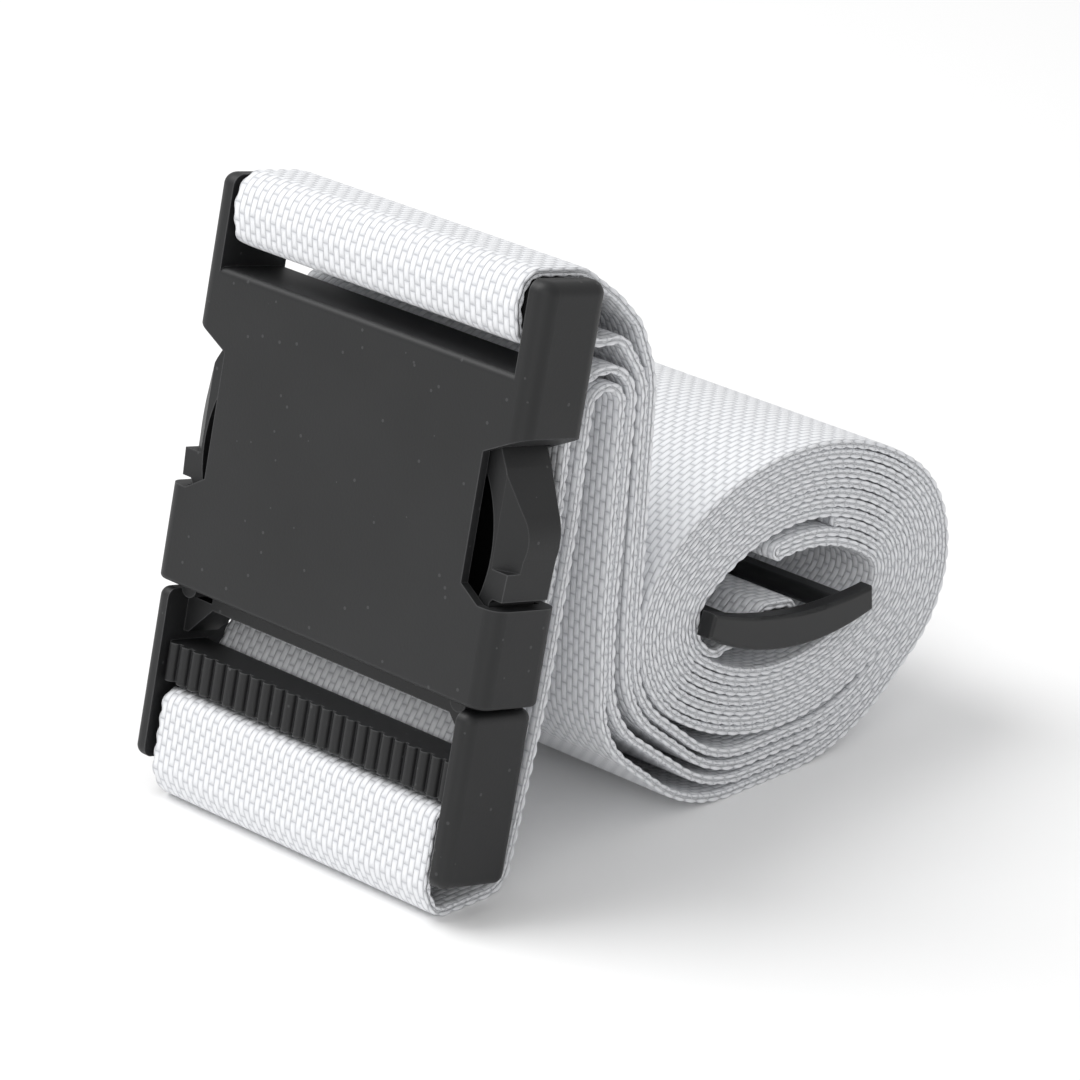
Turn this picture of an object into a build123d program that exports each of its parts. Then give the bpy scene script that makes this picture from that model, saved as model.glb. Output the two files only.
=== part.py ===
from build123d import *
from math import atan2, cos, degrees, hypot, pi, radians, sin, tan
import os

# A 50 mm luggage strap, rolled up for storage. Sizes are in millimetres.
# X runs across the webbing, Y from the buckle's front towards the roll, Z is up.

# ---- driving dimensions -------------------------------------------------------------
WEB_WIDTH = 50.0          # webbing, selvedge to selvedge
WEB_THICK = 0.84          # webbing, pressed flat
PLY_PITCH = 1.27          # from one ply of the roll to the next
REST_FLAT = 0.5           # depth of the flat where the webbing lies on the surface

BUCKLE_LEAN = 13.24       # the buckle leans back against the roll, degrees from upright
BUCKLE_LIFT = 4.3         # height of the plug's lower edge above the surface

# socket, the female half. In the buckle's own frame: u across, v up it, w out of its front
SHELL_HALF_WIDTH = 29.4
SHELL_THICK = 10.8
SHELL_BOTTOM = 22.7
BLOCK_TOP = 35.0          # top of the solid-sided mouth, where the arms latch
NECK_HALF_WIDTH = 23.0    # between the two finger notches
NOTCH_BOTTOM = 36.9
NOTCH_TOP = 53.0
EAR_HALF_WIDTH = 29.0
EAR_BOTTOM = 55.9
EAR_TOP = 74.7
PLATE_TOP = 63.1          # upper edge of the flat front and back
SIDE_WALL = 2.2
FACE_WALL = 1.2
CAVITY_TOP = 58.5
TOP_BAR_HEIGHT = 6.4
TOP_BAR_DEPTH = 8.6

# plug, the male half
PLUG_HALF_WIDTH = 28.3
PLUG_THICK = 11.0
PLUG_TOP = 22.0
RIB_BAR_TOP = 15.2
RIB_BAR_HEIGHT = 4.9
RIB_BAR_FRONT = 4.7
RIB_BAR_DEPTH = 6.6
RIB_COUNT = 24
END_BAR_HEIGHT = 6.2
END_BAR_DEPTH = 7.0
END_BAR_RISE = 1.2        # from the plates' lower edge to the bar
WEB_GAP = 1.0             # side clearance of the webbing in each slot

# release arms
ARM_ROOT = 22.6           # height of the arms' bending line
ARM_ROOT_U = 24.3
ARM_BOSS = 1.4                  # radius of the round root the arm bends about

ARM_TIP = 55.0
ARM_THICK = 3.0
ARM_FLEX = 7.0            # degrees inward when squeezed
LATCH_GAP = 0.9           # shoulder to socket, pulled home
PRESS_OUT = 29.0          # furthest out that a press pad reaches
GUIDE_WIDTH = 7.0
GUIDE_DEPTH = 4.4
GUIDE_TIP = 54.0

# slider
SLIDER_LENGTH = 30.0
SLIDER_DEPTH = 6.0
SLIDER_RAIL = 2.2
SLIDER_TILT = -9.0
OUTER_BAR_OUT = 10.6
OUTER_BAR_HIGH = 0.9
OUTER_BAR_WIDTH = 3.6
TACK_WIDTH = 42.0
TACK_THREAD = 0.7
TACK_STITCHES = 15

# fits
RUN_CLEAR = 0.35          # between parts that move past each other
SEAT_CLEAR = 0.3          # between webbing and plastic

UNPLUG_TRAVEL = 40.0

# ---- frames --------------------------------------------------------------------------
lean_sin, lean_cos = sin(radians(BUCKLE_LEAN)), cos(radians(BUCKLE_LEAN))


def leaned(v, w):
    """A point of the buckle's middle section as (Y, Z) of the whole strap."""
    return (v * lean_sin - w * lean_cos, v * lean_cos + w * lean_sin + BUCKLE_LIFT)


BUCKLE = Location((0, 0, BUCKLE_LIFT)) * Rot(X=90 - BUCKLE_LEAN)


# ---- webbing: a flat strip that follows lines and tangent arcs ------------------------
def corner_path(points, radii):
    """Lines joined by tangent arcs: [('line', a, b)] and [('arc', centre, radius, from, to)]."""
    pieces = []
    here = points[0]
    for (ax, ay), (bx, by), (cx, cy), radius in zip(points, points[1:], points[2:], radii):
        turn_in, turn_out = atan2(by - ay, bx - ax), atan2(cy - by, cx - bx)
        turn = (turn_out - turn_in + pi) % (2 * pi) - pi
        side = 1 if turn > 0 else -1
        set_back = radius * tan(abs(turn) / 2)
        start = (bx - set_back * cos(turn_in), by - set_back * sin(turn_in))
        end = (bx + set_back * cos(turn_out), by + set_back * sin(turn_out))
        centre = (start[0] - side * radius * sin(turn_in), start[1] + side * radius * cos(turn_in))
        first = turn_in - side * pi / 2
        if hypot(start[0] - here[0], start[1] - here[1]) > 1e-4:
            pieces.append(("line", here, start))
        pieces.append(("arc", centre, radius, first, first + turn))
        here = end
    pieces.append(("line", here, points[-1]))
    return pieces


def point_on(piece, share, offset=0.0):
    """Point of a piece at a share of its length, set over to its left by offset."""
    if piece[0] == "line":
        (ax, ay), (bx, by) = piece[1:]
        run = hypot(bx - ax, by - ay)
        nx, ny = -(by - ay) / run, (bx - ax) / run
        return (ax + (bx - ax) * share + nx * offset, ay + (by - ay) * share + ny * offset)
    _, (cx, cy), radius, first, last = piece
    angle = first + (last - first) * share
    reach = radius - offset if last > first else radius + offset
    return (cx + reach * cos(angle), cy + reach * sin(angle))


def length_of(path):
    total = 0.0
    for piece in path:
        if piece[0] == "line":
            total += hypot(piece[2][0] - piece[1][0], piece[2][1] - piece[1][1])
        else:
            total += piece[2] * abs(piece[4] - piece[3])
    return total


def side_edges(path, offset):
    edges = []
    for piece in path:
        a, m, b = (point_on(piece, share, offset) for share in (0, 0.5, 1))
        if piece[0] == "line":
            edges.append(Line(a, b))
        else:
            edges.append(ThreePointArc(a, m, b))
    return edges


def strip(path, width=WEB_WIDTH, thick=WEB_THICK):
    """The webbing along a path in the Y-Z plane, as one solid centred on X = 0."""
    left, right = side_edges(path, thick / 2), side_edges(path, -thick / 2)
    caps = [Line(left[0] @ 0, right[0] @ 0), Line(left[-1] @ 1, right[-1] @ 1)]
    face = make_face([*left, *right, *caps])
    return extrude(Plane.YZ * face, width / 2, both=True)


def spread(path, step=0.4):
    """Points along a path about one step apart, with each one's distance from its start."""
    found, gone = [], 0.0
    for piece in path:
        run = length_of([piece])
        count = max(2, int(run / step))
        found += [(point_on(piece, n / count), gone + run * n / count) for n in range(count)]
        gone += run
    return found


def least_gap(path, thick=WEB_THICK):
    """Least clear space between stretches of one strip that lie side by side."""
    points = spread(path)
    least = 1e9
    for n, ((ax, ay), a_gone) in enumerate(points):
        for (bx, by), b_gone in points[n + 1:]:
            apart = hypot(bx - ax, by - ay)
            if b_gone - a_gone > 3 * apart and b_gone - a_gone > 6:
                least = min(least, apart - thick)
    return least


# ---- the roll: four arcs a turn, whose centres repeat, so that every ply keeps its pitch ----
TURN_GROWTH = 4 * PLY_PITCH      # four plies are wound together
ROLL_Y = 57.45
ROLL_Z = 23.0
END_CENTRE = 13.2                # half the distance between the centres of the round ends
END_ANGLE = 52.0                 # half angle of each round end, degrees
CORE_RADIUS = -0.45              # end radius of the innermost ply, were it wound right in
TAIL_PLY, PLUG_PLY, RETURN_PLY, SEWN_PLY = (n * PLY_PITCH for n in (3, 2, 1, 0))
FOLD_ANGLE = 98.0                # where the strap folds back inside the roll
TAIL_ANGLE = 74.0                # where the cut tail lies in the roll

end = radians(END_ANGLE)
flat_radius = CORE_RADIUS + END_CENTRE / cos(end)
half_growth = TURN_GROWTH / 2
TOP, RIGHT, BOTTOM, LEFT = range(4)
CENTRES = {
    TOP: (ROLL_Y + half_growth * cos(end), ROLL_Z - END_CENTRE * tan(end) + half_growth * sin(end)),
    RIGHT: (ROLL_Y + END_CENTRE, ROLL_Z),
    BOTTOM: (ROLL_Y, ROLL_Z + END_CENTRE * tan(end)),
    LEFT: (ROLL_Y - END_CENTRE + half_growth * cos(end), ROLL_Z + half_growth * sin(end)),
}
FIRST_RADII = {
    TOP: flat_radius,
    RIGHT: CORE_RADIUS + half_growth,
    BOTTOM: flat_radius + half_growth,
    LEFT: CORE_RADIUS + TURN_GROWTH,
}
NORMALS = {TOP: (pi - end, end), RIGHT: (end, -end), BOTTOM: (-end, end - pi), LEFT: (pi + end, pi - end)}


def quarter(n, ply, start=None):
    """The n-th stretch of a ply, counted outward from the core, wound clockwise."""
    kind, turn = n % 4, n // 4
    first, last = NORMALS[kind]
    radius = FIRST_RADII[kind] + turn * TURN_GROWTH + ply
    return ("arc", CENTRES[kind], radius, first if start is None else start, last)


def backwards(path):
    turned = []
    for piece in reversed(path):
        if piece[0] == "line":
            turned.append(("line", piece[2], piece[1]))
        else:
            turned.append(piece[:3] + (piece[4], piece[3]))
    return turned


LAST_QUARTER = 9                 # the right end of the outermost turn


def roll_end(ply):
    return point_on(quarter(LAST_QUARTER, ply), 1)


def lead_corner(ply, level):
    """Where a ply that leaves the roll's right end straight comes down to a level."""
    y, z = roll_end(ply)
    return (y - (z - level) * tan(end), level)


# ---- routes of the plies outside the wound turns, as corner points and radii ------------
LYING = WEB_THICK / 2            # middle of the webbing where it lies on the surface
BAR_WRAP = SEAT_CLEAR + WEB_THICK / 2

tail_out = [lead_corner(TAIL_PLY, LYING), (40.5, LYING), (25.0, 14.0), (25.4, 30.0)]
inner_arch = [(28.5, 60.6), (23.1, 60.6)]
plug_back = [(20.1, 43.7), (15.3, 23.2)]
end_bar_front = END_BAR_DEPTH / 2 + 0.2
under_bar = [(8.2, LYING), (-3.0, LYING), leaned(-1.0, end_bar_front + 1.5),
             leaned(8.9, end_bar_front + 1.5), leaned(8.9, -3.4)]
plug_inside = [leaned(14.0, -3.6), leaned(24.0, -7.5), leaned(36.0, -8.2)]
outer_arch = [(20.3, 62.9), (30.7, 62.9)]
plug_out = [(26.6, 29.0), (26.6, 16.2), (44.0, 2.2), lead_corner(PLUG_PLY, 2.2)]

tail_to_plug = corner_path(
    [roll_end(TAIL_PLY), *tail_out, *inner_arch, *plug_back, *under_bar, *plug_inside, *outer_arch,
     *plug_out, roll_end(PLUG_PLY)],
    [28, 20, 12, 120, 2.6, 2.6, 90, 200, 3.6, 2.6, 3.4, 1.6, 2.4, 8, 12, 60, 4.9, 4.9, 100, 12, 18, 24],
)
return_out = corner_path(
    [roll_end(RETURN_PLY), lead_corner(RETURN_PLY, 3.9), (45.0, 3.9), (29.4, 17.0), (29.4, 28.0),
     (32.2, 59.6), (28.4, 66.4), (24.9, 66.5)],
    [24, 17, 13, 100, 8, 3.4],
)
sewn_out = corner_path(
    [roll_end(SEWN_PLY), lead_corner(SEWN_PLY, 5.6), (45.2, 5.6), (30.8, 18.1), (30.9, 28.0),
     (33.6, 60.0), (31.2, 67.2), (27.0, 72.0)],
    [22, 16, 12, 100, 14, 7],
)


def wound(ply, first, start=None):
    return [quarter(first, ply, start)] + [quarter(n, ply) for n in range(first + 1, LAST_QUARTER + 1)]


fold_at = radians(FOLD_ANGLE)
fold_radius = (PLUG_PLY - RETURN_PLY) / 2
fold_reach = FIRST_RADII[TOP] + (PLUG_PLY + RETURN_PLY) / 2
fold_centre = (CENTRES[TOP][0] + fold_reach * cos(fold_at), CENTRES[TOP][1] + fold_reach * sin(fold_at))
fold = ("arc", fold_centre, fold_radius, fold_at, fold_at + pi)

main_path = [
    *wound(TAIL_PLY, 0, radians(TAIL_ANGLE)), *tail_to_plug, *backwards(wound(PLUG_PLY, 0, fold_at)), fold,
    *wound(RETURN_PLY, 0, fold_at), *return_out,
]

# the sewn end: round the slider's middle bar and out under its left bar
SLIDER_Y, SLIDER_Z = 55.5, 21.8
tilt_sin, tilt_cos = sin(radians(SLIDER_TILT)), cos(radians(SLIDER_TILT))


def on_slider(along, height):
    return (SLIDER_Y + along * tilt_cos - height * tilt_sin, SLIDER_Z + along * tilt_sin + height * tilt_cos)


MIDDLE_BAR_WIDTH, MIDDLE_BAR_THICK = 4.4, 2.4
wrap_along, wrap_height = MIDDLE_BAR_WIDTH / 2 + BAR_WRAP, MIDDLE_BAR_THICK / 2 + BAR_WRAP
FLAP_APART = WEB_THICK + 0.45    # the stitched flap above the ply it is sewn to
sewn_start = point_on(quarter(3, SEWN_PLY), 0)
sewn_corner = (sewn_start[0] + 2.0 * sin(end), sewn_start[1] - 2.0 * cos(end))
flap_height = FLAP_APART - wrap_height
round_slider = corner_path(
    [on_slider(-7.4, flap_height), on_slider(-5.2, flap_height), on_slider(-2.6, wrap_height),
     on_slider(wrap_along, wrap_height), on_slider(wrap_along, -wrap_height),
     on_slider(-7.6, -wrap_height), sewn_corner, sewn_start],
    [1.5, 1.5, 1.2, 1.2, 8, 2.2],
)
sewn_path = [*round_slider, *[quarter(n, SEWN_PLY) for n in range(3, LAST_QUARTER + 1)], *sewn_out]

# the loop round the socket's top bar, from the return ply to the sewn ply
BAR_MIDDLE = EAR_TOP - TOP_BAR_HEIGHT / 2 - 0.6
wrap_up, wrap_deep = TOP_BAR_HEIGHT / 2 + BAR_WRAP + 0.2, TOP_BAR_DEPTH / 2 + BAR_WRAP + 0.4
loop_path = corner_path(
    [(24.2, 66.6), leaned(BAR_MIDDLE - wrap_up, -wrap_deep), leaned(BAR_MIDDLE - wrap_up, wrap_deep - 1.2),
     leaned(BAR_MIDDLE, wrap_deep), leaned(BAR_MIDDLE + wrap_up, wrap_deep - 0.6),
     leaned(BAR_MIDDLE + wrap_up, -wrap_deep + 0.6), (26.5, 72.5)],
    [6, 1.8, 2.4, 2.8, 4.0],
)

# ---- solids in the buckle's own frame: x across, y up the buckle, z out of its front -------


def block(u0, u1, v0, v1, w0, w1):
    return Pos((u0 + u1) / 2, (v0 + v1) / 2, (w0 + w1) / 2) * Box(u1 - u0, v1 - v0, w1 - w0)


def both_sides(part):
    return part + mirror(part, about=Plane.YZ)


def rounded_bar(half_width, low, height, back, depth, radius):
    bar = block(-half_width, half_width, low, low + height, back, back + depth)
    return fillet(bar.edges().filter_by(Axis.X), radius)


def make_socket():
    half = SHELL_THICK / 2
    right_side = [
        (0, SHELL_BOTTOM), (SHELL_HALF_WIDTH, SHELL_BOTTOM), (SHELL_HALF_WIDTH, BLOCK_TOP),
        (NECK_HALF_WIDTH + 3.2, BLOCK_TOP), (NECK_HALF_WIDTH, NOTCH_BOTTOM), (NECK_HALF_WIDTH, NOTCH_TOP),
        (EAR_HALF_WIDTH, EAR_BOTTOM), (EAR_HALF_WIDTH, EAR_TOP), (0, EAR_TOP),
    ]
    outline = make_face(Polyline(*right_side, close=True))
    body = extrude(outline, half, both=True)
    body = body + mirror(body, about=Plane.YZ)
    sides = body.edges().filter_by(Axis.Y).filter_by(lambda e: abs(e.center().X) > NECK_HALF_WIDTH + 1)
    body = fillet(sides, 2.1)
    tops = body.edges().filter_by(Axis.X).group_by(Axis.Y)[-1]
    body = fillet(tops, 1.6)
    mouth = body.edges().filter_by(Axis.X).group_by(Axis.Y)[0]
    body = fillet(mouth, 0.6)
    slot_half = WEB_WIDTH / 2 + WEB_GAP
    body -= block(-slot_half, slot_half, PLATE_TOP, EAR_TOP + 1, -half - 1, half + 1)
    lips = body.edges().filter_by(Axis.X).filter_by(lambda e: abs(e.center().Y - PLATE_TOP) < 0.01)
    body = fillet(lips, 0.9)
    inside = SHELL_HALF_WIDTH - SIDE_WALL
    deep = half - FACE_WALL
    body -= block(-inside, inside, SHELL_BOTTOM - 1, NOTCH_TOP, -deep, deep)
    body -= block(-inside + 2, inside - 2, NOTCH_TOP - 1, CAVITY_TOP, -deep, deep)
    rib_out = GUIDE_WIDTH / 2 + RUN_CLEAR
    for face in (-1, 1):
        near, far = sorted((face * (deep + 0.2), face * (GUIDE_DEPTH / 2)))
        body += both_sides(block(rib_out, rib_out + 1.2, SHELL_BOTTOM + 8, CAVITY_TOP + 0.2, near, far))
    bar_low = BAR_MIDDLE - TOP_BAR_HEIGHT / 2
    body += rounded_bar(slot_half + 0.5, bar_low, TOP_BAR_HEIGHT, -TOP_BAR_DEPTH / 2, TOP_BAR_DEPTH, 2.0)
    return body


def make_plug():
    inner = WEB_WIDTH / 2 + WEB_GAP
    half = PLUG_THICK / 2
    plate = block(inner, PLUG_HALF_WIDTH, 0, PLUG_TOP, -half, half)
    plate = fillet(plate.edges().filter_by(Axis.Y).filter_by(lambda e: e.center().X > inner + 1), 1.5)
    plate = fillet(plate.edges().filter_by(Axis.X), 1.3)
    frame = both_sides(plate)
    frame += rounded_bar(inner + 0.5, END_BAR_RISE, END_BAR_HEIGHT, -END_BAR_DEPTH / 2, END_BAR_DEPTH, 2.2)
    rib_radius = 0.8
    rib_low = RIB_BAR_TOP - RIB_BAR_HEIGHT
    bar_front = RIB_BAR_FRONT - rib_radius
    frame += block(-inner - 0.5, inner + 0.5, rib_low, RIB_BAR_TOP, RIB_BAR_FRONT - RIB_BAR_DEPTH, bar_front)
    pitch = 2 * inner / RIB_COUNT
    for n in range(RIB_COUNT):
        u = -inner + pitch * (n + 0.5)
        rib = Rot(X=-90) * Cylinder(rib_radius, RIB_BAR_HEIGHT, align=(Align.CENTER, Align.CENTER, Align.MIN))
        frame += Pos(u, rib_low, bar_front) * rib
    web_back, web_front = -3.1, 2.0
    seat = ARM_ROOT - ARM_BOSS - SEAT_CLEAR + 0.1
    gusset = make_face(
        Polyline((inner + 0.5, seat), (inner + 0.5, 16.4), (inner - 0.8, 16.4), (inner - 4.6, 20.2), (0, 20.2),
                 (0, seat), close=True)
    )
    gusset = extrude(Pos(0, 0, web_back) * gusset, web_front - web_back)
    frame += both_sides(gusset)
    base_top = ARM_ROOT + 4.0
    base_half = ARM_ROOT_U - ARM_BOSS - 1.2
    base_deep = SHELL_THICK / 2 - FACE_WALL - RUN_CLEAR - 0.25
    frame += block(-base_half, base_half, seat - 0.2, base_top, web_back, web_front)
    frame += block(-base_half, base_half, SHELL_BOTTOM + 0.3, base_top, -base_deep, base_deep)
    guide = block(-GUIDE_WIDTH / 2, GUIDE_WIDTH / 2, base_top - 1, GUIDE_TIP, -GUIDE_DEPTH / 2 - 0.6, GUIDE_DEPTH / 2 + 0.6)
    guide = chamfer(guide.edges().group_by(Axis.Y)[-1], 1.2)
    return frame + guide


def make_arm(side):
    """A release arm: a beam from the plug's base, a latch shoulder, and a pad for the finger."""
    deep = SHELL_THICK / 2 - FACE_WALL - RUN_CLEAR
    shoulder = BLOCK_TOP + LATCH_GAP
    beam_out = SHELL_HALF_WIDTH - SIDE_WALL - 0.6
    beam_in = ARM_ROOT_U - ARM_BOSS
    root = ThreePointArc((beam_in, ARM_ROOT), (ARM_ROOT_U, ARM_ROOT - ARM_BOSS), (ARM_ROOT_U + ARM_BOSS, ARM_ROOT))
    pad = Polyline(root @ 1, (beam_out, ARM_ROOT + 2.4), (beam_out, shoulder - 0.5), (beam_out + 0.5, shoulder),
                   (PRESS_OUT - 0.4, shoulder), (PRESS_OUT - 0.1, 41.0))
    crown = ThreePointArc(pad @ 1, (PRESS_OUT, 44.2), (PRESS_OUT - 0.9, 46.6))
    ramp = Polyline(crown @ 1, (beam_in + 2.8, 51.6), (beam_in + 0.8, ARM_TIP), (beam_in - 1.0, ARM_TIP),
                    (beam_in - 0.2, 50.4))
    hollow = ThreePointArc(ramp @ 1, (beam_in + 2.6, 43.0), (beam_in + 1.2, 34.0))
    closing = Line(hollow @ 1, root @ 0)
    arm = extrude(make_face([root, pad, crown, ramp, hollow, closing]), deep, both=True)
    slope = make_face(Polyline((PRESS_OUT + 0.2, 1.4), (PRESS_OUT + 0.2, deep + 0.1), (beam_in + 3.0, deep + 0.1),
                               close=True))
    arm -= Pos(0, shoulder + 3.5, 0) * extrude(Plane.XZ * slope, shoulder - ARM_TIP)
    return arm if side > 0 else mirror(arm, about=Plane.YZ)


def make_slider():
    half = SLIDER_LENGTH / 2
    sole, dip = -SLIDER_DEPTH / 2, SLIDER_DEPTH / 4
    rail_face = make_face([
        ThreePointArc((-half, sole + 3.2), (0, sole), (half, sole + 3.2)),
        Line((half, sole + 3.2), (half - 0.6, SLIDER_DEPTH / 2 + 0.3)),
        ThreePointArc((half - 0.6, SLIDER_DEPTH / 2 + 0.3), (0, dip), (0.6 - half, SLIDER_DEPTH / 2 + 0.3)),
        Line((0.6 - half, SLIDER_DEPTH / 2 + 0.3), (-half, sole + 3.2)),
    ])
    rail_in = WEB_WIDTH / 2 + SEAT_CLEAR + 0.1
    rail = Pos(rail_in, 0, 0) * extrude(Plane.YZ * rail_face, SLIDER_RAIL)
    slider = both_sides(fillet(rail.edges().group_by(Axis.X)[-1], 0.5))
    reach = rail_in + 0.4

    def bar(along, height, wide, thick):
        piece = Pos(0, along, height) * Box(2 * reach, wide, thick)
        return fillet(piece.edges().filter_by(Axis.X), 0.9)

    slider += bar(0, 0, MIDDLE_BAR_WIDTH, MIDDLE_BAR_THICK)
    for along in (-OUTER_BAR_OUT, OUTER_BAR_OUT):
        slider += bar(along, OUTER_BAR_HIGH, OUTER_BAR_WIDTH, MIDDLE_BAR_THICK)
    return Location((0, SLIDER_Y, SLIDER_Z)) * Rot(X=SLIDER_TILT) * slider


def make_bar_tack():
    """Two rows of stitches through the flap and the ply under it, joined by the thread between."""
    between = FLAP_APART - WEB_THICK
    tack = Box(TACK_WIDTH, 2.0, between)
    step = (TACK_WIDTH - 1) / (TACK_STITCHES - 1)
    for row in (-0.6, 0.6):
        for n in range(TACK_STITCHES):
            stitch = Cylinder(TACK_THREAD / 2, FLAP_APART + WEB_THICK + 0.2)
            tack += Pos((n - (TACK_STITCHES - 1) / 2) * step, row, 0) * stitch
    y, z = on_slider(-6.4, flap_height - FLAP_APART / 2)
    return Location((0, y, z)) * Rot(X=SLIDER_TILT) * tack


bar_tack = make_bar_tack()
parts = {
    "socket": BUCKLE * make_socket(),
    "plug_frame": BUCKLE * make_plug(),
    "arm_left": BUCKLE * make_arm(-1),
    "arm_right": BUCKLE * make_arm(1),
    "slider": make_slider(),
    "bar_tack": bar_tack,
    "webbing_main": strip(main_path),
    "webbing_sewn_end": strip(sewn_path) - bar_tack,
    "webbing_socket_loop": strip(loop_path),
}

# ---- the part's origin: on the surface, under the middle of its box -------------------------
boxes = [part.bounding_box() for part in parts.values()]
front, back = min(box.min.Y for box in boxes), max(box.max.Y for box in boxes)
low, high = min(box.min.Z for box in boxes), max(box.max.Z for box in boxes)
wide = max(box.max.X for box in boxes)
to_origin = Pos(0, -(front + back) / 2, -low)

os.makedirs("parts", exist_ok=True)
for name, part in parts.items():
    export_step(to_origin * part, f"parts/{name}.step")

print(f"moved by {to_origin.position}, whole {2 * wide:.2f} x {back - front:.2f} x {high - low:.2f} mm")
for name, path in (("main", main_path), ("sewn end", sewn_path), ("socket loop", loop_path)):
    print(f"webbing {name}: length {length_of(path):.1f} mm, least gap to itself {least_gap(path):.2f} mm")
hinge = to_origin * BUCKLE * Pos(ARM_ROOT_U, ARM_ROOT, 0)
print(f"right arm's hinge at {hinge.position}")
print(f"up the buckle 0, {lean_sin:.5f}, {lean_cos:.5f}; out of its front 0, {-lean_cos:.5f}, {lean_sin:.5f}")
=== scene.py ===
"""A coiled luggage strap with its side-release buckle, as an add-on that builds the scene."""

import bpy
import numpy as np
from bpy.props import FloatProperty, IntProperty, PointerProperty
from math import atan2, cos, hypot, pi, radians, sin, tan
from mathutils import Matrix, Vector


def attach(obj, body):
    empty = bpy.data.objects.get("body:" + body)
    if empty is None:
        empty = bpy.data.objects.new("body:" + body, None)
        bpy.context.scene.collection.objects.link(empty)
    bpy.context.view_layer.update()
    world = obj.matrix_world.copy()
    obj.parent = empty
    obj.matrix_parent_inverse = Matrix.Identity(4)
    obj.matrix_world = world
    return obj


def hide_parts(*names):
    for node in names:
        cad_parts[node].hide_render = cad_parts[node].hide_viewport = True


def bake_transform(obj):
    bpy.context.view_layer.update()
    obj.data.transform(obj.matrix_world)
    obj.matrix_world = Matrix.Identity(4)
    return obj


bl_info = {
    "name": "Luggage strap",
    "version": (1, 0, 0),
    "blender": (4, 5, 0),
    "location": "View3D > Sidebar > Strap",
    "description": "Builds a coiled webbing strap, its buckle, its slider and a pale stage",
    "category": "Object",
}

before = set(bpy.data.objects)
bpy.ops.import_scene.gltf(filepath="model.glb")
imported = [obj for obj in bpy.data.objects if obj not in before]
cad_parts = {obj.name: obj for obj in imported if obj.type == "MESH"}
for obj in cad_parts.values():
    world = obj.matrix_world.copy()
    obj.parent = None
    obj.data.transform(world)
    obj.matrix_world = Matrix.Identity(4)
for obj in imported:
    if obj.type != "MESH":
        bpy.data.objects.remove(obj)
MM = 0.001


# ---- what can be set ---------------------------------------------------------------------
class STRAP_PG_webbing(bpy.types.PropertyGroup):
    thick: FloatProperty(
        name="Ply", description="Thickness of the woven webbing", default=1.16 * MM, unit="LENGTH"
    )
    pitch: FloatProperty(
        name="Braid pitch", description="Length of one stitch of the woven edge", default=2.15 * MM, unit="LENGTH"
    )
    braid: FloatProperty(
        name="Braid depth", description="How far the edge stitches stand out", default=0.42 * MM, unit="LENGTH"
    )
    ends: FloatProperty(
        name="Rib pitch", description="Width of one warp rib across the webbing", default=0.95 * MM, unit="LENGTH"
    )
    picks: FloatProperty(
        name="Pick pitch", description="Length of one grain along the webbing", default=2.15 * MM, unit="LENGTH"
    )
    relief: FloatProperty(
        name="Weave relief", description="Depth of the weave on the faces", default=0.22 * MM, unit="LENGTH"
    )
    steps: IntProperty(
        name="Steps", description="Mesh steps along one edge stitch", default=6, min=3, max=16
    )


class STRAP_PG_plastic(bpy.types.PropertyGroup):
    tone: FloatProperty(
        name="Tone", description="Brightness of the charcoal plastic", default=0.012, min=0.0, max=1.0
    )
    grain: FloatProperty(
        name="Grain", description="Strength of the moulded texture", default=0.35, min=0.0, max=1.0
    )
    # sets how bright the lighter edges are: partly wear, partly a painted highlight
    edge_wear_and_highlight: FloatProperty(
        name="Wear", description="How bright the worn edges are", default=0.5, min=0.0, max=1.0
    )


class STRAP_PG_stage(bpy.types.PropertyGroup):
    lens: FloatProperty(
        name="Lens", description="Focal length in millimetres on a 36 mm sensor", default=200.0, min=20.0
    )
    key: FloatProperty(name="Key", description="Power of the main lamp in watts", default=4.7, min=0.0)
    fill: FloatProperty(name="Fill", description="Power of the fill lamp in watts", default=1.6, min=0.0)
    world: FloatProperty(name="World", description="Strength of the pale surroundings", default=0.6, min=0.0)


# ---- the run of the webbing, in millimetres ----------------------------------------------
WEB_HALF = 25.0
CAD_THICK = 0.84
PLY_PITCH = 1.27
LEAN = radians(13.24)
LIFT = 4.3
ORIGIN_Y = 40.8156
lean_sin, lean_cos = sin(LEAN), cos(LEAN)


def leaned(v, w):
    return (v * lean_sin - w * lean_cos, v * lean_cos + w * lean_sin + LIFT)


def corner_path(points, radii):
    """Lines joined by tangent arcs."""
    pieces = []
    here = points[0]
    for (ax, ay), (bx, by), (cx, cy), radius in zip(points, points[1:], points[2:], radii):
        turn_in, turn_out = atan2(by - ay, bx - ax), atan2(cy - by, cx - bx)
        turn = (turn_out - turn_in + pi) % (2 * pi) - pi
        side = 1 if turn > 0 else -1
        set_back = radius * tan(abs(turn) / 2)
        start = (bx - set_back * cos(turn_in), by - set_back * sin(turn_in))
        end = (bx + set_back * cos(turn_out), by + set_back * sin(turn_out))
        centre = (start[0] - side * radius * sin(turn_in), start[1] + side * radius * cos(turn_in))
        first = turn_in - side * pi / 2
        if hypot(start[0] - here[0], start[1] - here[1]) > 1e-4:
            pieces.append(("line", here, start))
        pieces.append(("arc", centre, radius, first, first + turn))
        here = end
    pieces.append(("line", here, points[-1]))
    return pieces


def point_on(piece, share):
    """A point of a piece and the direction the webbing runs in there."""
    if piece[0] == "line":
        (ax, ay), (bx, by) = piece[1:]
        return (ax + (bx - ax) * share, ay + (by - ay) * share), atan2(by - ay, bx - ax)
    _, (cx, cy), radius, first, last = piece
    angle = first + (last - first) * share
    heading = angle + (pi / 2 if last > first else -pi / 2)
    return (cx + radius * cos(angle), cy + radius * sin(angle)), heading


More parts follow.
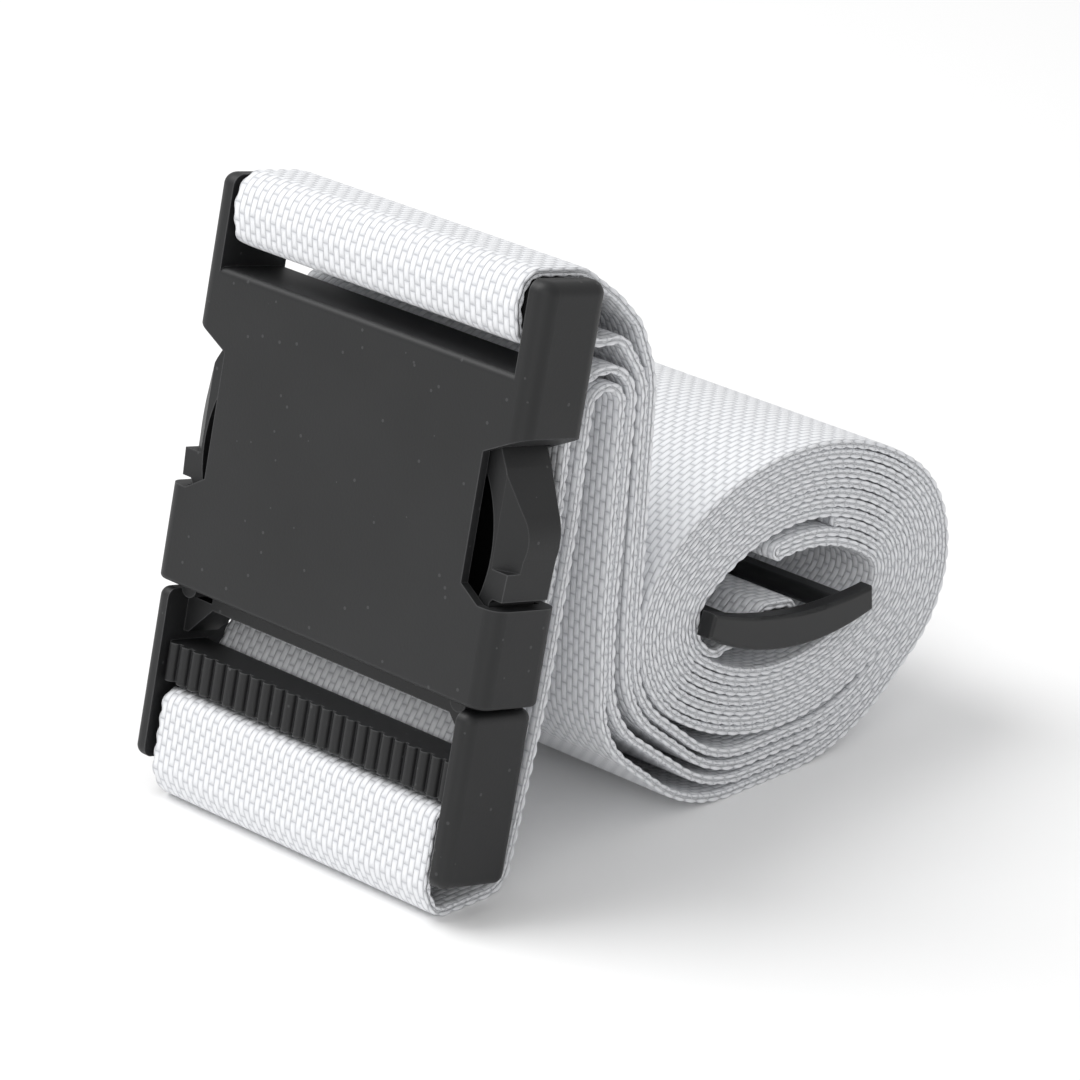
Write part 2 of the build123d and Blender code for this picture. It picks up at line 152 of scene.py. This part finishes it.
def length_of(piece):
    if piece[0] == "line":
        return hypot(piece[2][0] - piece[1][0], piece[2][1] - piece[1][1])
    return piece[2] * abs(piece[4] - piece[3])


# the coil: four arcs a turn whose centres repeat, so that every ply keeps its pitch
GROWTH = 4 * PLY_PITCH
ROLL_Y, ROLL_Z = 57.45, 23.0
END_CENTRE = 13.2
CORE_RADIUS = -0.45
TAIL_PLY, PLUG_PLY, RETURN_PLY, SEWN_PLY = (n * PLY_PITCH for n in (3, 2, 1, 0))
TAIL_ANGLE, FOLD_ANGLE = radians(74.0), radians(98.0)
end = radians(52.0)
flat_radius = CORE_RADIUS + END_CENTRE / cos(end)
TOP, RIGHT, BOTTOM, LEFT = range(4)
CENTRES = {
    TOP: (ROLL_Y + GROWTH / 2 * cos(end), ROLL_Z - END_CENTRE * tan(end) + GROWTH / 2 * sin(end)),
    RIGHT: (ROLL_Y + END_CENTRE, ROLL_Z),
    BOTTOM: (ROLL_Y, ROLL_Z + END_CENTRE * tan(end)),
    LEFT: (ROLL_Y - END_CENTRE + GROWTH / 2 * cos(end), ROLL_Z + GROWTH / 2 * sin(end)),
}
FIRST_RADII = {
    TOP: flat_radius,
    RIGHT: CORE_RADIUS + GROWTH / 2,
    BOTTOM: flat_radius + GROWTH / 2,
    LEFT: CORE_RADIUS + GROWTH,
}
NORMALS = {TOP: (pi - end, end), RIGHT: (end, -end), BOTTOM: (-end, end - pi), LEFT: (pi + end, pi - end)}
LAST_QUARTER = 9


def quarter(n, ply, start=None):
    kind, turn = n % 4, n // 4
    first, last = NORMALS[kind]
    radius = FIRST_RADII[kind] + turn * GROWTH + ply
    return ("arc", CENTRES[kind], radius, first if start is None else start, last)


def wound(ply, first, start=None):
    return [quarter(first, ply, start)] + [quarter(n, ply) for n in range(first + 1, LAST_QUARTER + 1)]


def backwards(path):
    turned = []
    for piece in reversed(path):
        if piece[0] == "line":
            turned.append(("line", piece[2], piece[1]))
        else:
            turned.append(piece[:3] + (piece[4], piece[3]))
    return turned


def roll_end(ply):
    return point_on(quarter(LAST_QUARTER, ply), 1)[0]


def lead_corner(ply, level):
    y, z = roll_end(ply)
    return (y - (z - level) * tan(end), level)


def on_slider(along, height):
    tilt = radians(-9.0)
    return (55.5 + along * cos(tilt) - height * sin(tilt), 21.8 + along * sin(tilt) + height * cos(tilt))


def routes(lying):
    """The tail and plug run, the run over the socket's bar, and the sewn end; lying is half a ply."""
    front = 2.85
    tail_to_plug = corner_path(
        [roll_end(TAIL_PLY), lead_corner(TAIL_PLY, lying), (40.5, lying), (25.0, 14.0), (25.4, 30.0),
         (28.5, 60.6), (23.1, 60.6), (20.1, 43.7), (15.3, 23.2), (8.2, lying), (-3.0, lying),
         leaned(-1.0, front + 1.5), leaned(8.9, front + 1.5), leaned(8.9, -3.4), leaned(14.0, -3.6),
         leaned(24.0, -7.5), leaned(36.0, -8.2), (20.3, 62.9), (30.7, 62.9), (26.6, 29.0), (26.6, 16.2),
         (44.0, 2.2), lead_corner(PLUG_PLY, 2.2), roll_end(PLUG_PLY)],
        [28, 20, 12, 120, 2.6, 2.6, 90, 200, 3.6, 2.6, 3.4, 1.6, 2.4, 8, 12, 60, 4.9, 4.9, 100, 12, 18, 24],
    )
    fold_reach = FIRST_RADII[TOP] + (PLUG_PLY + RETURN_PLY) / 2
    fold_y = CENTRES[TOP][0] + fold_reach * cos(FOLD_ANGLE)
    fold_z = CENTRES[TOP][1] + fold_reach * sin(FOLD_ANGLE)
    fold = ("arc", (fold_y, fold_z), (PLUG_PLY - RETURN_PLY) / 2, FOLD_ANGLE, FOLD_ANGLE + pi)
    coil = [*wound(TAIL_PLY, 0, TAIL_ANGLE), *tail_to_plug, *backwards(wound(PLUG_PLY, 0, FOLD_ANGLE)), fold,
            *wound(RETURN_PLY, 0, FOLD_ANGLE)]
    middle, up, deep = 70.9, 4.12, 5.42
    over_bar = corner_path(
        [roll_end(RETURN_PLY), lead_corner(RETURN_PLY, 3.9), (45.0, 3.9), (29.4, 17.0), (29.4, 28.0),
         (32.2, 59.6), (28.4, 66.3), (24.6, 66.5), leaned(middle - up, -deep), leaned(middle - up, deep - 1.2),
         leaned(middle, deep), leaned(middle + up, deep - 0.6), leaned(middle + up, -deep + 0.6),
         (27.6, 71.4), (31.2, 67.2), (33.6, 60.0), (30.9, 28.0), (30.8, 18.1), (45.2, 5.6),
         lead_corner(SEWN_PLY, 5.6), roll_end(SEWN_PLY)],
        [24, 17, 13, 100, 8, 3.2, 9, 5, 1.8, 2.4, 2.8, 4.0, 12, 6, 14, 100, 12, 16, 22],
    )
    flap, wrap, out = -0.63, 1.92, 2.92
    start = point_on(quarter(3, SEWN_PLY), 0)[0]
    corner = (start[0] + 2.0 * sin(end), start[1] - 2.0 * cos(end))
    round_slider = corner_path(
        [on_slider(-7.4, flap), on_slider(-5.2, flap), on_slider(-2.6, wrap), on_slider(out, wrap),
         on_slider(out, -wrap), on_slider(-7.6, -wrap), corner, start],
        [1.5, 1.5, 1.2, 1.2, 8, 2.2],
    )
    return coil, over_bar, backwards(round_slider + wound(SEWN_PLY, 3))


# ---- meshes ------------------------------------------------------------------------------
def new_object(name, mesh, material):
    thing = bpy.data.objects.new(name, mesh)
    bpy.context.scene.collection.objects.link(thing)
    mesh.materials.append(material)
    return thing


def stations(path, step):
    """Points evenly along a path: place, heading and distance from its start."""
    lengths = [length_of(piece) for piece in path]
    total = sum(lengths)
    count = max(8, round(total / step))
    found, gone, k = [], 0.0, 0
    for n in range(count + 1):
        at = total * n / count
        while k < len(path) - 1 and at > gone + lengths[k]:
            gone += lengths[k]
            k += 1
        share = min(1.0, max(0.0, (at - gone) / lengths[k]))
        found.append((*point_on(path[k], share), at))
    return found, total


def webbing_mesh(name, path, settings, material, start_at=0.0):
    """Woven webbing along a path: two flat faces between edges of two rows of braid."""
    half = settings.thick / MM / 2
    pitch = settings.pitch / MM
    braid = settings.braid / MM
    points, total = stations(path, pitch / settings.steps)
    cols = 32
    inner = WEB_HALF - 1.5
    vertices, texture = [], []
    for (y, z), heading, gone in points:
        along = start_at + gone
        ny, nz = -sin(heading), cos(heading)
        wave = (abs(sin(pi * along / pitch)), abs(cos(pi * along / pitch)))
        ring = [(inner * (2 * n / cols - 1), half) for n in range(cols + 1)]
        for side, (top, under) in ((1, wave), (-1, (wave[1], wave[0]))):
            edge = [
                (WEB_HALF - 0.95, half * 0.93),
                (WEB_HALF - braid * (0.9 - 0.5 * top), half * (0.84 + 0.16 * top)),
                (WEB_HALF - braid * (0.62 - 0.62 * top), half * 0.52),
                (WEB_HALF - braid * 0.95, 0.0),
                (WEB_HALF - braid * (0.62 - 0.62 * under), -half * 0.52),
                (WEB_HALF - braid * (0.9 - 0.5 * under), -half * (0.84 + 0.16 * under)),
                (WEB_HALF - 0.95, -half * 0.93),
            ]
            if side > 0:
                ring += edge
                ring += [(-inner * (2 * n / cols - 1), -half) for n in range(cols + 1)]
            else:
                ring += [(-x, h) for x, h in reversed(edge)]
        for x, h in ring:
            vertices.append((x * MM, (y + ny * h - ORIGIN_Y) * MM, (z + nz * h) * MM))
            texture.append((along, x))
    around = len(ring)
    faces = []
    for n in range(len(points) - 1):
        for k in range(around):
            a, b = n * around + k, n * around + (k + 1) % around
            faces.append((a, b, b + around, a + around))
    faces.append(tuple(reversed(range(around))))
    last = (len(points) - 1) * around
    faces.append(tuple(range(last, last + around)))
    mesh = bpy.data.meshes.new(name)
    mesh.from_pydata(vertices, [], faces)
    mesh.polygons.foreach_set("use_smooth", [True] * len(mesh.polygons))
    layer = mesh.uv_layers.new(name="weave")
    corners = np.empty(len(mesh.loops), int)
    mesh.loops.foreach_get("vertex_index", corners)
    layer.data.foreach_set("uv", np.array(texture, float)[corners].ravel())
    mesh.update()
    return new_object(name, mesh, material), total


# ---- materials ---------------------------------------------------------------------------
class Nodes:
    """Short hand for wiring a node material."""

    def __init__(self, name):
        self.material = bpy.data.materials.new(name)
        self.material.use_nodes = True
        self.tree = self.material.node_tree
        self.shader = self.tree.nodes["Principled BSDF"]

    def add(self, kind, **values):
        node = self.tree.nodes.new(kind)
        for key, value in values.items():
            if hasattr(node, key):
                setattr(node, key, value)
            else:
                node.inputs[key.replace("_", " ")].default_value = value
        return node

    def link(self, a, b):
        self.tree.links.new(a, b)

    def math(self, operation, a, b=None, c=None):
        node = self.add("ShaderNodeMath", operation=operation)
        for slot, value in zip(node.inputs, (a, b, c)):
            if value is None:
                continue
            if isinstance(value, (int, float)):
                slot.default_value = value
            else:
                self.link(value, slot)
        return node.outputs[0]

    def ramp(self, value, stops):
        node = self.add("ShaderNodeValToRGB")
        node.color_ramp.elements[0].position, node.color_ramp.elements[0].color = stops[0]
        node.color_ramp.elements[1].position, node.color_ramp.elements[1].color = stops[-1]
        for position, colour in stops[1:-1]:
            node.color_ramp.elements.new(position).color = colour
        self.link(value, node.inputs[0])
        return node.outputs[0]


def grey(level, tint=0.0):
    return (level * (1 - tint), level * (1 - tint * 0.7), level, 1.0)


def webbing_material(name, settings):
    """White woven polypropylene: staggered long grains on the faces, braid on the edges."""
    n = Nodes(name)
    uv = n.add("ShaderNodeUVMap", uv_map="weave")
    split = n.add("ShaderNodeSeparateXYZ")
    n.link(uv.outputs[0], split.inputs[0])
    along, across = split.outputs[0], split.outputs[1]
    ribs = n.math("DIVIDE", across, settings.ends / MM)
    rib = n.math("FLOOR", ribs)
    odd = n.math("MULTIPLY", n.math("PINGPONG", rib, 1.0), 0.5)
    picks = n.math("ADD", n.math("DIVIDE", along, settings.picks / MM), odd)
    in_rib = n.math("SUBTRACT", n.math("MULTIPLY", n.math("FRACT", ribs), 2.0), 1.0)
    in_pick = n.math("SUBTRACT", n.math("MULTIPLY", n.math("FRACT", picks), 2.0), 1.0)
    dome_across = n.math("SQRT", n.math("MAXIMUM", n.math("SUBTRACT", 1.0, n.math("POWER", n.math("ABSOLUTE", in_rib), 2.4)), 0.0))
    dome_along = n.math("SUBTRACT", 1.0, n.math("POWER", n.math("ABSOLUTE", in_pick), 3.0))
    height = n.math("MULTIPLY", dome_across, dome_along)
    fibre = n.add("ShaderNodeTexNoise", Scale=1.0, Detail=2.0)
    stretch = n.add("ShaderNodeMapping")
    stretch.inputs["Scale"].default_value = (0.7, 9.0, 1.0)
    n.link(uv.outputs[0], stretch.inputs[0])
    n.link(stretch.outputs[0], fibre.inputs["Vector"])
    height = n.math("ADD", height, n.math("MULTIPLY", fibre.outputs[0], 0.25))
    bump = n.add("ShaderNodeBump", Strength=1.0, Distance=settings.relief)
    n.link(height, bump.inputs["Height"])
    n.link(bump.outputs[0], n.shader.inputs["Normal"])
    # painted shade: the colour follows the weave's height, so the hollows between grains and ribs are painted
    # darker (0.55) than the tops (0.90); the fibre noise in the height also varies the tone at random
    colour = n.ramp(height, [(0.0, grey(0.55, 0.07)), (0.5, grey(0.82, 0.045)), (1.0, grey(0.90, 0.035))])
    n.link(colour, n.shader.inputs["Base Color"])
    n.shader.inputs["Roughness"].default_value = 0.62
    n.shader.inputs["Specular IOR Level"].default_value = 0.3
    n.shader.inputs["Sheen Weight"].default_value = 0.15
    return n.material


def plastic_material(name, settings, grain, rough, tone):
    """Charcoal moulded plastic: fine speckle, dust, and edges painted lighter, partly wear and partly a painted
    highlight.
    """
    n = Nodes(name)
    place = n.add("ShaderNodeTexCoord")
    speckle = n.add("ShaderNodeTexNoise", Scale=2600.0, Detail=3.0, Roughness=0.65)
    cloud = n.add("ShaderNodeTexNoise", Scale=60.0, Detail=3.0)
    dust = n.add("ShaderNodeTexVoronoi", Scale=420.0)
    for node in (speckle, cloud, dust):
        n.link(place.outputs["Object"], node.inputs["Vector"])
    sharp = n.add("ShaderNodeBevel", samples=6, Radius=0.00035)
    geometry = n.add("ShaderNodeNewGeometry")
    dot = n.add("ShaderNodeVectorMath", operation="DOT_PRODUCT")
    n.link(sharp.outputs[0], dot.inputs[0])
    n.link(geometry.outputs["Normal"], dot.inputs[1])
    # painted highlight: every sharp edge is lightened towards grey 0.2, partly wear and partly a painted
    # highlight where light catches the edge
    edge = n.ramp(dot.outputs["Value"], [(0.80, (1, 1, 1, 1)), (0.97, (0, 0, 0, 1))])
    edge_wear_and_highlight_mask = n.math("MULTIPLY", edge, settings.edge_wear_and_highlight)
    base = n.ramp(cloud.outputs[0], [(0.3, grey(tone * 0.85, 0.08)), (0.7, grey(tone * 1.15, 0.08))])
    spots = n.math("MULTIPLY", n.math("LESS_THAN", dust.outputs["Distance"], 0.09), 0.5 * grain)
    mixed = n.add("ShaderNodeMix", data_type="RGBA")
    n.link(n.math("MAXIMUM", n.math("MULTIPLY", edge_wear_and_highlight_mask, 0.6), spots), mixed.inputs[0])
    n.link(base, mixed.inputs[6])
    # this lighter grey serves both the dust spots and the painted edge highlight
    mixed.inputs[7].default_value = grey(0.2, 0.04)
    n.link(mixed.outputs[2], n.shader.inputs["Base Color"])
    n.shader.inputs["Roughness"].default_value = rough
    n.shader.inputs["Specular IOR Level"].default_value = 0.45
    bump = n.add("ShaderNodeBump", Strength=grain, Distance=0.00006)
    n.link(speckle.outputs[0], bump.inputs["Height"])
    n.link(bump.outputs[0], n.shader.inputs["Normal"])
    return n.material


def dress(names, material):
    for name in names:
        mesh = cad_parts[name].data
        mesh.materials.clear()
        mesh.materials.append(material)


# ---- operators ---------------------------------------------------------------------------
class STRAP_OT_webbing(bpy.types.Operator):
    """The coiled and folded webbing, its run over the buckle's bar, and its sewn end"""

    bl_idname = "strap.webbing"
    bl_label = "Webbing"

    def execute(self, context):
        settings = context.scene.strap_webbing
        cloth = webbing_material("webbing", settings)
        coil, over_bar, sewn = routes(CAD_THICK / 2 + 0.18)
        made, run = [], 0.0
        for name, path in (("webbing_coil", coil), ("webbing_over_bar", over_bar), ("webbing_sewn", sewn)):
            piece, length = webbing_mesh(name, path, settings, cloth, run)
            run += length
            made.append((piece, length))
        for piece, node in zip((m[0] for m in made), ("webbing_main", "webbing_socket_loop", "webbing_sewn_end")):
            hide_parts(node)
        (coil_piece, coil_run), (bar_piece, bar_run), (sewn_piece, sewn_run) = made
        root = "strap"
        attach(coil_piece, root)
        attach(sewn_piece, root)
        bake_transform(bar_piece)
        return {"FINISHED"}


class STRAP_OT_buckle(bpy.types.Operator):
    """The moulded plastic of the socket, the plug and its two release arms"""

    bl_idname = "strap.buckle"
    bl_label = "Buckle"

    def execute(self, context):
        settings = context.scene.strap_plastic
        body = plastic_material("buckle plastic", settings, settings.grain, 0.52, settings.tone)
        dress(("socket", "plug_frame", "arm_left", "arm_right"), body)
        return {"FINISHED"}


class STRAP_OT_slider(bpy.types.Operator):
    """The slider at the middle of the coil and the stitching beside it"""

    bl_idname = "strap.slider"
    bl_label = "Slider"

    def execute(self, context):
        settings = context.scene.strap_plastic
        dress(("slider",), plastic_material("slider plastic", settings, 0.12, 0.42, settings.tone * 0.9))
        thread = Nodes("thread")
        thread.shader.inputs["Base Color"].default_value = grey(0.85, 0.02)
        thread.shader.inputs["Roughness"].default_value = 0.7
        dress(("bar_tack",), thread.material)
        return {"FINISHED"}


class STRAP_OT_stage(bpy.types.Operator):
    """The white surface, the soft lamps and the camera"""

    bl_idname = "strap.stage"
    bl_label = "Stage"

    def execute(self, context):
        scene = context.scene
        settings = scene.strap_stage
        surface = Nodes("white surface")
        surface.shader.inputs["Base Color"].default_value = (0.97, 0.97, 0.97, 1)
        surface.shader.inputs["Roughness"].default_value = 0.9
        surface.shader.inputs["Specular IOR Level"].default_value = 0.0
        mesh = bpy.data.meshes.new("floor")
        mesh.from_pydata([(-8, -8, 0), (8, -8, 0), (8, 8, 0), (-8, 8, 0)], [], [(0, 1, 2, 3)])
        floor = new_object("floor", mesh, surface.material)
        aim = Vector((0, 0, 0.035))
        lamps = (
            ("key", (-0.35, -0.25, 0.75), 0.55, settings.key),
            ("fill", (0.55, -0.75, 0.45), 0.6, settings.fill),
        )
        for name, place, size, power in lamps:
            lamp = bpy.data.lights.new(name, "AREA")
            lamp.size = size
            lamp.energy = power
            shade = bpy.data.objects.new(name, lamp)
            shade.location = place
            shade.rotation_euler = (aim - Vector(place)).to_track_quat("-Z", "Y").to_euler()
            scene.collection.objects.link(shade)
        self.surroundings(scene, settings.world)
        camera = bpy.data.cameras.new("camera")
        camera.lens = settings.lens
        camera.sensor_width = 36.0
        camera.clip_start = 0.01
        eye = bpy.data.objects.new("camera", camera)
        forward = Vector((-0.6647, 0.6431, -0.3802)).normalized()
        right = Vector((0.6953, 0.7187, 0.0)).normalized()
        up = right.cross(forward)
        eye.matrix_world = Matrix.Translation((0.4991, -0.48522, 0.3155)) @ Matrix(
            (right, up, -forward)
        ).transposed().to_4x4()
        scene.collection.objects.link(eye)
        scene.camera = eye
        scene.view_settings.view_transform = "Standard"
        return {"FINISHED"}

    def surroundings(self, scene, strength):
        """Even pale light, and clean white where the camera looks past the floor."""
        world = bpy.data.worlds.new("pale")
        scene.world = world
        world.use_nodes = True
        tree = world.node_tree
        lit = tree.nodes["Background"]
        lit.inputs[0].default_value = (1.0, 1.0, 1.0, 1)
        lit.inputs[1].default_value = strength
        seen = tree.nodes.new("ShaderNodeBackground")
        seen.inputs[0].default_value = (1, 1, 1, 1)
        seen.inputs[1].default_value = 1.0
        path = tree.nodes.new("ShaderNodeLightPath")
        mix = tree.nodes.new("ShaderNodeMixShader")
        tree.links.new(path.outputs["Is Camera Ray"], mix.inputs[0])
        tree.links.new(lit.outputs[0], mix.inputs[1])
        tree.links.new(seen.outputs[0], mix.inputs[2])
        tree.links.new(mix.outputs[0], tree.nodes["World Output"].inputs[0])


class STRAP_PT_panel(bpy.types.Panel):
    """The strap's sizes, materials and stage"""

    bl_label = "Luggage strap"
    bl_idname = "STRAP_PT_panel"
    bl_space_type = "VIEW_3D"
    bl_region_type = "UI"
    bl_category = "Strap"

    def draw(self, context):
        layout = self.layout
        for kind, group in GROUPS.items():
            box = layout.box()
            for key in kind.__annotations__:
                box.prop(getattr(context.scene, group), key)
        for kind in OPERATORS:
            layout.operator(kind.bl_idname)


GROUPS = {
    STRAP_PG_webbing: "strap_webbing",
    STRAP_PG_plastic: "strap_plastic",
    STRAP_PG_stage: "strap_stage",
}
OPERATORS = (STRAP_OT_webbing, STRAP_OT_buckle, STRAP_OT_slider, STRAP_OT_stage)


def register():
    for kind in (*GROUPS, *OPERATORS, STRAP_PT_panel):
        bpy.utils.register_class(kind)
    for kind, group in GROUPS.items():
        setattr(bpy.types.Scene, group, PointerProperty(type=kind))


def unregister():
    for group in GROUPS.values():
        delattr(bpy.types.Scene, group)
    for kind in reversed((*GROUPS, *OPERATORS, STRAP_PT_panel)):
        bpy.utils.unregister_class(kind)


def main():
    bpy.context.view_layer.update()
    register()
    bpy.ops.strap.webbing()
    bpy.ops.strap.buckle()
    bpy.ops.strap.slider()
    bpy.ops.strap.stage()
    bpy.context.view_layer.update()


if __name__ == "__main__":
    main()
